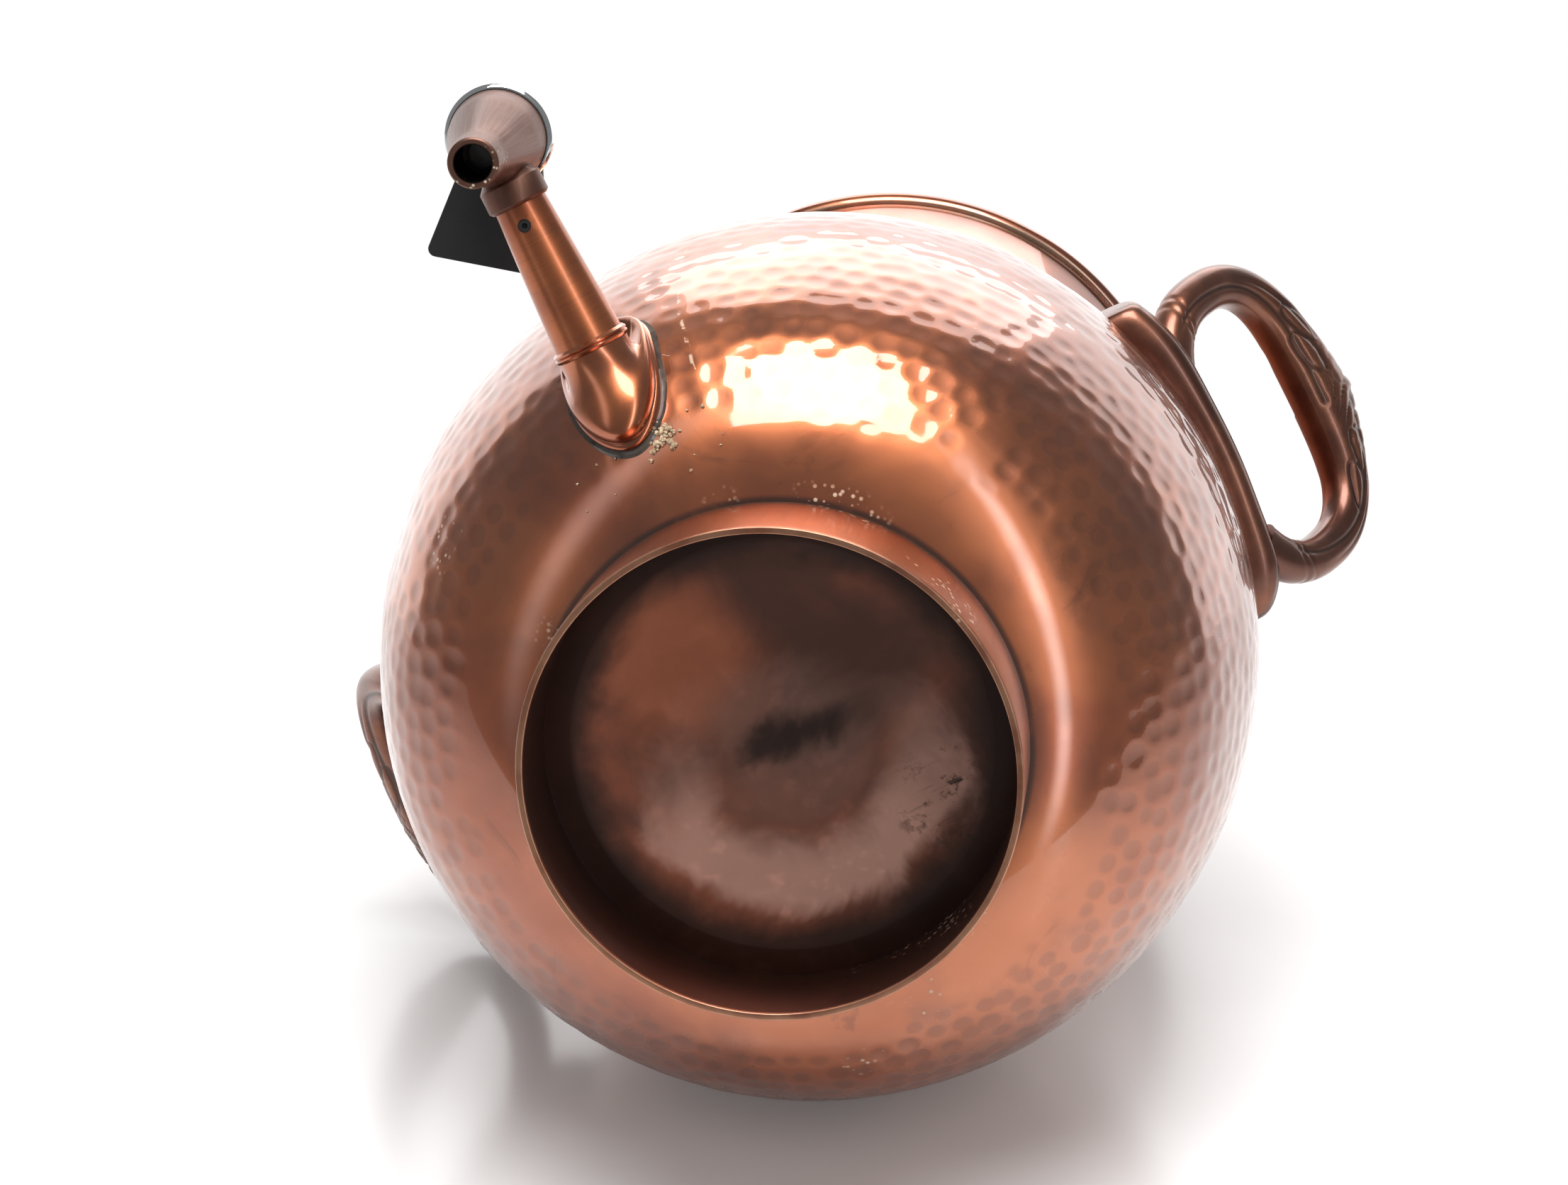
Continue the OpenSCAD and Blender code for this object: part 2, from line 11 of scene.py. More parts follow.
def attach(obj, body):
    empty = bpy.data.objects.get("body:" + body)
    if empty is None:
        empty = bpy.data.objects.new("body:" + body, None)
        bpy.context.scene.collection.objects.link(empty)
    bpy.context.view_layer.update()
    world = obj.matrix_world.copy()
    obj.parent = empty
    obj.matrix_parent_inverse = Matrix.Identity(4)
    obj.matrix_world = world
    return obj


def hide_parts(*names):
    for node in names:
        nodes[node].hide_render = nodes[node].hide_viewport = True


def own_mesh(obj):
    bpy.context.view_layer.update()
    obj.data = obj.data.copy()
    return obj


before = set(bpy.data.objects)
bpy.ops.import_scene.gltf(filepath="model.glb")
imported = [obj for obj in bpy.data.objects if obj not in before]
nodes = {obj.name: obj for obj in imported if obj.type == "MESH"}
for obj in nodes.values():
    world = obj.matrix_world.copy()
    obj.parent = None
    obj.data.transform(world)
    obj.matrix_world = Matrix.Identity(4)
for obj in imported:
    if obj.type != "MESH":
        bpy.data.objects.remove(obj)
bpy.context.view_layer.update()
mm = 0.001
print("frame loaded:", len(nodes), "nodes")


# numbers and grids
def scatter(a, b, seed):
    # even pseudo-random value from 0 to 1 for a pair of whole numbers: the fraction of a large sine
    return np.mod(np.sin(a * 12.9898 + b * 78.233 + seed * 37.719) * 43758.5453, 1.0)


def bump(x, centre, width):
    # bell curve of height 1
    return np.exp(-((x - centre) / width) ** 2)


def ease(x, low, high):
    # 0 below low, 1 above high, smooth between
    t = np.clip((x - low) / (high - low), 0, 1)
    return t * t * (3 - 2 * t)


def signedPower(x, n):
    return np.sign(x) * np.abs(x) ** n


def softNoise(x, y, seed):
    # value noise: scattered values at whole numbers, blended by an eased weight
    ix, iy = np.floor(x), np.floor(y)
    fx, fy = x - ix, y - iy
    fx, fy = fx * fx * (3 - 2 * fx), fy * fy * (3 - 2 * fy)
    low = scatter(ix, iy, seed) * (1 - fx) + scatter(ix + 1, iy, seed) * fx
    high = scatter(ix, iy + 1, seed) * (1 - fx) + scatter(ix + 1, iy + 1, seed) * fx
    return low * (1 - fy) + high * fy


def turned(radius, height, angle):
    # surface of revolution: a profile (rows) turned through the angles (columns)
    radius = np.broadcast_to(np.asarray(radius, float).reshape(len(height), -1), (len(height), len(angle)))
    height = np.broadcast_to(np.asarray(height, float).reshape(len(radius), -1), radius.shape)
    return np.stack([radius * np.cos(angle), radius * np.sin(angle), height], -1)


def gridPiece(name, points, finish, body, replaced=(), ring=False, sharp=40, values=None):
    # points is rows x columns x 3 in mm; columns close on themselves, rows close too if ring is true,
    # and otherwise both ends are closed by a fan to their middle
    rows, columns = points.shape[:2]
    index = np.arange(rows * columns).reshape(rows, columns)
    below = index if ring else index[:-1]
    above = np.roll(index, -1, 0) if ring else index[1:]
    quads = np.stack([below, np.roll(below, -1, 1), np.roll(above, -1, 1), above], -1).reshape(-1, 4)
    spots = points.reshape(-1, 3)
    faces = quads.tolist()
    if not ring:
        spots = np.vstack([spots, points[0].mean(0), points[-1].mean(0)])
        first, last = index[0], index[-1]
        start = np.full(columns, rows * columns)
        faces += np.stack([np.roll(first, -1), first, start], -1).tolist()
        faces += np.stack([last, np.roll(last, -1), start + 1], -1).tolist()
    mesh = bpy.data.meshes.new(name)
    mesh.from_pydata((spots * mm).tolist(), [], faces)
    if values is not None:
        layer = mesh.attributes.new("hollow", "FLOAT", "POINT")
        flat = np.zeros(len(spots), np.float32)
        flat[: rows * columns] = values.reshape(-1)
        layer.data.foreach_set("value", flat)
    return placed(name, mesh, finish, body, replaced, sharp)


def placed(name, mesh, finish, body, replaced=(), sharp=40):
    loose = bmesh.new()
    loose.from_mesh(mesh)
    bmesh.ops.remove_doubles(loose, verts=loose.verts, dist=1e-6)
    bmesh.ops.recalc_face_normals(loose, faces=loose.faces)
    loose.to_mesh(mesh)
    loose.free()
    mesh.shade_smooth()
    mesh.set_sharp_from_angle(angle=math.radians(sharp))
    mesh.materials.append(finish)
    piece = bpy.data.objects.new(name, mesh)
    bpy.context.scene.collection.objects.link(piece)
    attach(piece, body)
    if replaced:
        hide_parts(*replaced)
    return piece


def roundedCopy(node, name, finish, body, width, merge=0.5):
    # a merged copy of a CAD node with its edges rounded
    mesh = nodes[node].data.copy()
    mesh.materials.clear()
    loose = bmesh.new()
    loose.from_mesh(mesh)
    bmesh.ops.remove_doubles(loose, verts=loose.verts, dist=1e-5)
    bmesh.ops.dissolve_limit(loose, angle_limit=math.radians(merge), verts=loose.verts, edges=loose.edges)
    loose.to_mesh(mesh)
    loose.free()
    piece = placed(name, mesh, finish, body, (node,), 50)
    edge = piece.modifiers.new("edge", "BEVEL")
    edge.width = width * mm
    edge.segments = 2
    edge.limit_method = "ANGLE"
    edge.angle_limit = math.radians(38)
    edge.harden_normals = True
    return piece


# shader maths
class Wire:
    # an output socket that can be used in sums
    def __init__(self, finish, socket):
        self.finish = finish
        self.socket = socket

    def sum(self, how, first, second):
        return self.finish.node("Math", {"operation": how}, {0: first, 1: second})

    def __add__(self, other):
        return self.sum("ADD", self, other)

    def __radd__(self, other):
        return self.sum("ADD", other, self)

    def __sub__(self, other):
        return self.sum("SUBTRACT", self, other)

    def __rsub__(self, other):
        return self.sum("SUBTRACT", other, self)

    def __mul__(self, other):
        return self.sum("MULTIPLY", self, other)

    def __rmul__(self, other):
        return self.sum("MULTIPLY", other, self)


class Finish:
    # one material being made
    def __init__(self, name, world=None):
        self.owner = world or bpy.data.materials.new(name)
        self.owner.use_nodes = True
        self.tree = self.owner.node_tree
        self.tree.nodes.clear()

    def node(self, kind, settings=None, values=None, output=0):
        made = self.tree.nodes.new("ShaderNode" + kind)
        for key, value in (settings or {}).items():
            if key == "stops":
                stops = made.color_ramp.elements
                while len(stops) < len(value):
                    stops.new(0.5)
                for stop, (place, colour) in zip(stops, value):
                    stop.position = place
                    stop.color = (*colour, 1) if isinstance(colour, tuple) else (colour, colour, colour, 1)
            else:
                setattr(made, key, value)
        for key, value in (values or {}).items():
            if isinstance(value, Wire):
                self.tree.links.new(value.socket, made.inputs[key])
            elif isinstance(value, tuple) and len(made.inputs[key].default_value) == 4:
                made.inputs[key].default_value = (*value, 1)
            else:
                made.inputs[key].default_value = value
        return Wire(self, made.outputs[output]) if len(made.outputs) else made

    def place(self):
        return self.node("TexCoord", output="Object")

    def attribute(self, name):
        return self.node("Attribute", {"attribute_name": name}, output="Fac")

    def moved(self, vector, scale=(1, 1, 1), shift=(0, 0, 0), turn=(0, 0, 0)):
        return self.node("Mapping", {}, {
            "Vector": vector, "Scale": scale, "Location": shift, "Rotation": turn})

    def noise(self, vector, scale, detail=3.0, roughness=0.5, distortion=0.0):
        return self.node("TexNoise", {}, {
            "Vector": vector, "Scale": scale, "Detail": detail, "Roughness": roughness,
            "Distortion": distortion})

    def between(self, value, low, high):
        # 0 at low, 1 at high, smooth between
        return self.node("MapRange", {"interpolation_type": "SMOOTHSTEP"}, {
            "Value": value, "From Min": low, "From Max": high})

    def ramp(self, value, *stops):
        return self.node("ValToRGB", {"stops": stops}, {"Fac": value})

    def mixed(self, factor, first, second, how="MIX"):
        settings = {"data_type": "RGBA", "blend_type": how}
        return self.node("Mix", settings, {0: factor, 6: first, 7: second}, 2)

    def parts(self, vector, which):
        return self.node("SeparateXYZ", {}, {"Vector": vector}, which)

    def distance(self, vector, point):
        return self.node("VectorMath", {"operation": "DISTANCE"}, {0: vector, 1: point}, "Value")

    def rough(self, height, strength, distance):
        return self.node("Bump", {}, {"Height": height, "Strength": strength, "Distance": distance})

    def done(self, **sockets):
        names = {"colour": "Base Color", "roughness": "Roughness", "metal": "Metallic",
                 "coat": "Coat Weight", "coatRoughness": "Coat Roughness", "coatIor": "Coat IOR",
                 "normal": "Normal", "specular": "Specular IOR Level"}
        surface = self.node("BsdfPrincipled", {}, {names[k]: v for k, v in sockets.items()})
        self.node("OutputMaterial", {}, {"Surface": surface})
        return self.owner


# finishes
copperTone = {
    "light": (0.54, 0.168, 0.068),
    "deep": (0.33, 0.090, 0.040),
    "grey": (0.24, 0.098, 0.062),
    "dark": (0.075, 0.035, 0.026),
    "verdigris": (0.16, 0.22, 0.17),
    "lime": (0.62, 0.50, 0.36),
}


def patina(finish, place, tone, clouds=9.0):
    # brown copper: slow clouds of light and deep tone, with faint greyer blooms
    cloud = finish.noise(place, clouds, 4.0, 0.55, 0.4)
    bloom = finish.noise(place, clouds * 3.1, 3.0, 0.6)
    colour = finish.mixed(finish.between(cloud, 0.36, 0.64), tone["deep"], tone["light"])
    return finish.mixed(finish.between(bloom, 0.52, 0.78) * 0.45, colour, tone["grey"])


def limeSpecks(finish, place, scale, low, size):
    # small round dots where a cell noise is near its centres and a slow noise allows them
    dots = finish.node("TexVoronoi", {"feature": "F1"}, {"Vector": place, "Scale": scale}, "Distance")
    allowed = finish.between(finish.noise(place, 14.0, 2.0), low, low + 0.06)
    return (1.0 - finish.between(dots, size * 0.5, size)) * allowed


def bellyFinish():
    f = Finish("hammeredCopper")
    place = f.place()
    hollow = f.attribute("hollow")
    height = f.parts(place, "Z")
    colour = patina(f, place, copperTone)
    # painted shade: the copper is darkened inside the hammer hollows
    colour = f.mixed(f.between(hollow, 0.08, 0.5) * 0.34, colour, (0.19, 0.070, 0.042))
    stain = f.noise(f.moved(place, (1, 1, 0.35)), 26.0, 5.0, 0.65, 0.8)
    colour = f.mixed(f.between(stain, 0.62, 0.74) * 0.35, colour, copperTone["dark"])
    # verdigris gathers under the mouth bead, and the belly is darker in broken patches where it meets the
    # foot ring
    rim = f.between(height, 0.4835, 0.4855) * (1.0 - f.between(height, 0.4862, 0.4872))
    rim = rim * f.between(f.noise(place, 25.0, 2.0), 0.3, 0.7)
    colour = f.mixed(rim * 0.6, colour, copperTone["verdigris"])
    radial = f.distance(f.moved(place, (1, 1, 0)), (0.0, 0.0, 0.0))
    foot = (1.0 - f.between(radial, 0.0918, 0.0940)) * f.between(f.noise(place, 45.0, 3.0), 0.2, 0.5)
    colour = f.mixed(foot * 0.85, colour, copperTone["dark"])
    # brown drops: a long one in the joint above the foot ring and two small ones further out
    for spot, stretch, low, high in (((0.041, -0.087, 0.047), (0.35, 0.9, 1), 0.0006, 0.0022),
                                     ((0.089, -0.049, 0.055), (1, 1, 1), 0.0018, 0.0046),
                                     ((0.0735, 0.0695, 0.054), (1, 1, 1), 0.0008, 0.0024)):
        away = f.distance(f.moved(place, stretch), tuple(a * b for a, b in zip(spot, stretch)))
        ragged = (f.noise(place, 260.0, 4.0, 0.7) - 0.5) * 0.0035
        colour = f.mixed((1.0 - f.between(away + ragged, low, high)) * 0.85, colour, (0.045, 0.016, 0.010))
    specks = limeSpecks(f, place, 300.0, 0.70, 0.3) * (1.0 - f.between(height, 0.10, 0.16))
    joint = f.between(radial, 0.0915, 0.0925) * (1.0 - f.between(radial, 0.0965, 0.101))
    jointSpecks = limeSpecks(f, place, 430.0, 0.60, 0.42) * joint
    specks = f.node("Math", {"operation": "MAXIMUM"}, {0: specks, 1: jointSpecks})
    # a dried run of water beside the spout
    side = f.parts(place, "X") + (f.noise(place, 30.0, 3.0) - 0.5) * 0.006
    trail = f.between(side, 0.0285, 0.0293) * (1.0 - f.between(side, 0.0297, 0.0305))
    trail = trail * f.between(f.noise(place, 120.0, 3.0, 0.7), 0.54, 0.60)
    trail = trail * (1.0 - f.between(f.parts(place, "Y"), -0.06, -0.04))
    trail = trail * f.between(height, 0.055, 0.065) * (1.0 - f.between(height, 0.15, 0.18))
    specks = f.node("Math", {"operation": "MAXIMUM"}, {0: specks, 1: trail * 0.8})
    colour = f.mixed(specks, colour, copperTone["lime"])
    fine = f.noise(place, 900.0, 2.0, 0.6)
    broad = f.noise(place, 60.0, 3.0, 0.5)
    smear = f.between(f.noise(place, 16.0, 4.0, 0.6, 0.5), 0.35, 0.7)
    normal = f.rough(broad * 0.6 + fine * 0.06 + specks * 0.5, 0.22, 0.0007)
    return f.done(
        colour=colour, metal=1.0 - specks, roughness=0.23 + smear * 0.12 + hollow * 0.05 + specks * 0.3,
        coat=1.0 - smear * 0.2, coatRoughness=0.05, coatIor=1.75, normal=normal)


def footFinish():
    f = Finish("footCopper")
    place = f.place()
    height = f.parts(place, "Z")
    colour = patina(f, place, copperTone, 12.0)
    streak = f.noise(f.moved(place, (1, 1, 0.12)), 150.0, 4.0, 0.6)
    colour = f.mixed(0.45, colour, (0.30, 0.165, 0.118))
    colour = f.mixed(f.between(streak, 0.5, 0.75) * 0.4, colour, copperTone["grey"])
    seam = f.between(height, 0.0400, 0.0436) * f.between(f.noise(place, 70.0, 3.0), 0.35, 0.6)
    colour = f.mixed(seam * 0.9, colour, copperTone["verdigris"])
    specks = limeSpecks(f, place, 330.0, 0.63, 0.36)
    colour = f.mixed(specks, colour, copperTone["lime"])
    radial = f.distance(f.moved(place, (1, 1, 0)), (0.0, 0.0, 0.0))
    # painted shade: the inner wall of the foot ring is darkened
    inside = (1.0 - f.between(radial, 0.0896, 0.0903)) * f.between(height, 0.0005, 0.002)
    colour = f.mixed(inside * 0.8, colour, (0.075, 0.028, 0.020))
    wear = (1.0 - f.between(height, 0.0004, 0.0022)) * f.between(f.noise(place, 55.0, 3.0), 0.3, 0.6)
    colour = f.mixed(wear * 0.55, colour, (0.66, 0.36, 0.22))
    normal = f.rough(streak * 0.3 + f.noise(place, 700.0, 2.0) * 0.12 + specks * 0.6, 0.2, 0.0006)
    return f.done(
        colour=colour, metal=1.0 - specks, roughness=0.3 + streak * 0.12 + specks * 0.3, coat=0.6,
        coatRoughness=0.12, normal=normal)


def tarnishFinish():
    # heat tarnish on a dark brown ground: a red-brown cloud on one side, a broken tan arc on the other,
    # a purple-brown middle with a black streak, a scuffed black patch near the edge, and painted shade
    # darkening the rim
    f = Finish("heatTarnish")
    place = f.place()
    warp = f.noise(place, 24.0, 4.0, 0.6, 0.5)
    slow = f.noise(f.moved(place, (1, 1, 1), (0.31, 0.12, 0)), 14.0, 4.0, 0.6, 0.4)
    shift = (warp - 0.5) * 0.05

    def near(point, low, high):
        return 1.0 - f.between(f.distance(place, point) + shift, low, high)

    middle = f.distance(place, (0.003, 0.003, 0.05)) + shift * 0.7
    colour = f.mixed(f.between(slow, 0.35, 0.65), (0.11, 0.048, 0.035), (0.34, 0.11, 0.062))
    colour = f.mixed(near((-0.022, -0.046, 0.05), 0.012, 0.045) * 0.85, colour, (0.46, 0.145, 0.075))
    arc = f.between(middle, 0.028, 0.050) * (1.0 - f.between(middle, 0.060, 0.070))
    colour = f.mixed(arc * near((-0.010, 0.046, 0.05), 0.040, 0.080) * 0.85, colour, (0.74, 0.41, 0.32))
    colour = f.mixed((1.0 - f.between(middle, 0.018, 0.040)) * 0.6, colour, (0.29, 0.155, 0.12))
    long = f.distance(f.moved(place, (0.45, 1.5, 1), (0, 0, 0), (0, 0, 0.14)), (0.0028, 0.001, 0.05))
    streak = (1.0 - f.between(long + (warp - 0.5) * 0.035, 0.004, 0.016))
    colour = f.mixed(streak * 0.85, colour, (0.022, 0.014, 0.012))
    # painted shade: the plate is darkened towards its rim, beside the foot ring's wall
    edge = f.between(f.distance(place, (0, 0, 0.05)) + shift * 0.35, 0.064, 0.078)
    colour = f.mixed(edge * 0.9, colour, (0.030, 0.015, 0.012))
    mottle = f.between(f.noise(place, 130.0, 4.0, 0.7), 0.52, 0.66)
    scratchy = f.noise(f.moved(place, (1, 14, 1), (0, 0, 0), (0, 0, -0.55)), 55.0, 3.0, 0.7)
    patch = near((0.037, 0.046, 0.05), 0.010, 0.026)
    scratches = f.between(scratchy, 0.60, 0.66) * patch
    colour = f.mixed(mottle * patch * 0.8 + scratches * 0.3, colour, (0.03, 0.018, 0.016))
    normal = f.rough(slow * 0.5 + scratches * 0.12, 0.2, 0.0007)
    return f.done(
        colour=colour, metal=1.0, roughness=0.36 + mottle * 0.1 + slow * 0.12, coat=0.45, coatRoughness=0.22,
        normal=normal)


def plainCopperFinish(name, tone, coat, roughness, brushed=None, shadedBore=None, screwPitShade=None):
    f = Finish(name)
    place = f.place()
    colour = patina(f, place, tone, 20.0)
    fine = f.noise(place, 800.0, 2.0, 0.6)
    height = fine * 0.1
    if brushed:
        lines = f.noise(f.moved(place, brushed), 60.0, 3.0, 0.65)
        colour = f.mixed(f.between(lines, 0.45, 0.75) * 0.35, colour, tone["grey"])
        height = height + lines * 0.12
    specks = limeSpecks(f, place, 420.0, 0.70, 0.3)
    colour = f.mixed(specks, colour, tone["lime"])
    if shadedBore:
        # painted shade: near black inside and round the tap's outlet bore
        deep = 1.0 - f.between(f.distance(f.moved(place, (1, 1, 0)), shadedBore), 0.0070, 0.0076)
        colour = f.mixed(deep, colour, (0.012, 0.008, 0.007))
    if screwPitShade:
        # painted shade: a near-black disc round the lock screw's seat on the tube
        dark = 1.0 - f.between(f.distance(place, screwPitShade), 0.0026, 0.0033)
        colour = f.mixed(dark * 0.95, colour, (0.012, 0.006, 0.005))
    normal = f.rough(height + specks * 0.5, 0.12, 0.0003)
    return f.done(
        colour=colour, metal=1.0 - specks, roughness=roughness + fine * 0.08, coat=coat, coatRoughness=0.1,
        normal=normal)


def castFinish():
    # dark cast metal: grooves hold a blacker patina, ridges are rubbed lighter
    f = Finish("castBronze")
    place = f.place()
    hollow = f.attribute("hollow")
    cloud = f.noise(place, 30.0, 4.0, 0.6)
    colour = f.mixed(f.between(cloud, 0.35, 0.65), (0.155, 0.062, 0.042), (0.27, 0.108, 0.064))
    colour = f.mixed(f.between(hollow, 0.25, 0.95) * 0.7, colour, (0.045, 0.028, 0.022))
    grain = f.noise(place, 520.0, 3.0, 0.6)
    normal = f.rough(grain, 0.12, 0.0004)
    return f.done(
        colour=colour, metal=1.0, roughness=0.3 + cloud * 0.12 + hollow * 0.15, coat=0.55, coatRoughness=0.14,
        normal=normal)


def metalFinish(name, colour, roughness, grainScale):
    f = Finish(name)
    place = f.place()
    smear = f.noise(place, 90.0, 3.0)
    grain = f.noise(place, grainScale, 2.0)
    return f.done(
        colour=f.mixed(smear * 0.4, colour, tuple(c * 0.86 for c in colour)), metal=1.0,
        roughness=roughness + smear * 0.06, normal=f.rough(grain, 0.06, 0.0003))


def blackFinish(name, colour, roughness):
    f = Finish(name)
    place = f.place()
    grain = f.noise(place, 1400.0, 2.0, 0.6)
    dust = f.noise(place, 35.0, 4.0, 0.6)
    return f.done(
        colour=f.mixed(f.between(dust, 0.4, 0.7) * 0.3, colour, tuple(c + 0.012 for c in colour)),
        roughness=roughness + grain * 0.15, specular=0.45, normal=f.rough(grain, 0.3, 0.0002))


def siliconeFinish():
    f = Finish("clearSilicone")
    place = f.place()
    dirt = f.noise(place, 130.0, 4.0, 0.6)
    colour = f.mixed(f.between(dirt, 0.45, 0.7), (0.075, 0.058, 0.046), (0.02, 0.016, 0.013))
    return f.done(
        colour=colour, roughness=0.25, coat=0.5, coatRoughness=0.1, normal=f.rough(dirt, 0.3, 0.0004))


def limeFinish():
    f = Finish("limescale")
    place = f.place()
    grain = f.noise(place, 900.0, 4.0, 0.7)
    colour = f.mixed(f.between(grain, 0.35, 0.65), (0.30, 0.19, 0.10), (0.72, 0.58, 0.40))
    return f.done(colour=colour, roughness=0.85, normal=f.rough(grain, 0.8, 0.0006))


tapTone = dict(copperTone, light=(0.20, 0.102, 0.075), deep=(0.14, 0.064, 0.045), grey=(0.16, 0.10, 0.082))
screwSpot = tuple(np.array([list(c) for c in nodes["tap_lock_screw"].bound_box]).mean(0).tolist())
finishes = {
    "belly": bellyFinish(),
    "foot": footFinish(),
    "tarnish": tarnishFinish(),
    "cast": castFinish(),
    "tube": plainCopperFinish("brushedCopper", copperTone, 0.5, 0.27, (1, 22, 1), screwPitShade=screwSpot),
    "boss": plainCopperFinish("polishedCopper", copperTone, 1.0, 0.2),
    "tap": plainCopperFinish("tapCopper", tapTone, 0.15, 0.42, shadedBore=(0.0, -0.241, 0.0)),
    "lid": plainCopperFinish("lidCopper", copperTone, 0.8, 0.26),
    "steel": metalFinish("plainSteel", (0.58, 0.58, 0.58), 0.3, 900.0),
    "chrome": metalFinish("polishedChrome", (0.78, 0.79, 0.80), 0.05, 300.0),
    "black": blackFinish("matteBlack", (0.016, 0.016, 0.017), 0.42),
    "rubber": blackFinish("blackRubber", (0.010, 0.010, 0.010), 0.55),
    "silicone": siliconeFinish(),
    "lime": limeFinish(),
}
print("finishes made:", len(finishes))

# body
bodySize = {
    "bellyRadius": 170.0, "bellyHeight": 178.0, "sideCurve": 240.0,
    "neckRadius": 114.0, "neckHeight": 436.0, "rimHeight": 490.0, "bead": 4.0,
    "beadTurn": (-104, 233), "waveDepth": 0.35, "waveHeight": 22, "dent": 0.25, "dentPitch": 17,
    "wall": 1.5, "flare": 8.4, "baseHeight": 43.0, "flatRadius": 78.0, "bottomRise": 8.0,
    "footJoint": 89.5, "split": 262.0, "columns": 576,
}
hammering = {"pitch": 10.9, "rowPitch": 9.8, "radius": 5.35, "depth": 0.38, "start": 34.0, "finish": 415.0}


def bodyProfile(v):
    # arcs that meet without a corner, from the edge of the flat bottom up to the mouth bead:
    # each is centre radius, centre height, arc radius, first and last angle, side
    rise = v["bellyHeight"] - v["baseHeight"]
    reach = v["flatRadius"] - v["bellyRadius"] + v["sideCurve"]
    corner = (v["sideCurve"] ** 2 - rise ** 2 - reach ** 2) / (2 * (v["sideCurve"] - rise))
    cornerTurn = -math.degrees(math.atan2(rise - corner, reach))
    climb = v["neckHeight"] - v["bellyHeight"]
    neckTurn = 2 * math.degrees(math.atan((v["bellyRadius"] - v["neckRadius"]) / climb))
    neckArc = climb / math.sin(math.radians(neckTurn)) - v["sideCurve"]
    flareRise = v["rimHeight"] - v["bead"] * 0.7 - v["neckHeight"]
    flareArc = (flareRise ** 2 + v["flare"] ** 2) / (2 * v["flare"])
    flareTurn = math.degrees(math.asin(flareRise / flareArc))
    middle = v["bellyRadius"] - v["sideCurve"]
    arcs = [
        (v["flatRadius"], v["baseHeight"] + corner, corner, -90, cornerTurn, 1),
        (middle, v["bellyHeight"], v["sideCurve"], cornerTurn, neckTurn, 1),
        (v["neckRadius"] + neckArc, v["neckHeight"], neckArc, 180 + neckTurn, 180, -1),
        (v["neckRadius"] + flareArc, v["neckHeight"], flareArc, 180, 180 - flareTurn, -1),
    ]
    pieces = []
    for centre, level, arc, first, last, side in arcs:
        count = max(8, int(abs(math.radians(last - first)) * arc / 0.5))
        turn = np.radians(np.linspace(first, last, count))
        pieces.append(np.stack([
            centre + arc * np.cos(turn), level + arc * np.sin(turn),
            side * np.cos(turn), side * np.sin(turn)]))
    line = np.concatenate(pieces, 1)
    run = np.concatenate([[0], np.cumsum(np.hypot(np.diff(line[0]), np.diff(line[1])))])
    return line, run


profile, profileRun = bodyProfile(bodySize)


def along(run):
    # radius, height and outward normal of the body at lengths along its profile
    return [np.interp(run, profileRun, part) for part in profile]


def runAtHeight(height):
    return float(np.interp(height, profile[1], profileRun))


def bellyRadiusAt(height):
    return np.interp(height, profile[1], profile[0])


def hammerMarks(run, angle, v):
    # depth of round hollows set in rows: each row has its own count and start, each hollow its own
    # shift, size and depth, and a point takes the deepest of the hollows round it
    radius = along(run)[0][:, None]
    run = run[:, None]
    row = np.floor(run / v["rowPitch"])
    deepest = np.zeros((len(run), len(angle)))
    for rowStep in (-1, 0, 1):
        k = row + rowStep
        count = np.round(2 * np.pi * along(((k + 0.5) * v["rowPitch"]).ravel())[0] / v["pitch"])[:, None]
        cell = angle / (2 * np.pi) * count + scatter(k, 0 * k, 3.0) * 3.0
        for cellStep in (-1, 0, 1):
            m = np.floor(cell) + cellStep
            tag = np.mod(m, count)
            across = (cell - m - 0.5 - 0.42 * (scatter(k, tag, 1.0) - 0.5)) / count * 2 * np.pi * radius
            up = run - (k + 0.5 + 0.42 * (scatter(k, tag, 2.0) - 0.5)) * v["rowPitch"]
            size = v["radius"] * (0.86 + 0.22 * scatter(k, tag, 4.0))
            depth = v["depth"] * (0.6 + 0.5 * scatter(k, tag, 5.0)) * (scatter(k, tag, 6.0) > 0.05)
            hollow = depth * np.clip(1 - (across ** 2 + up ** 2) / size ** 2, 0, 1)
            deepest = np.maximum(deepest, hollow)
    return deepest


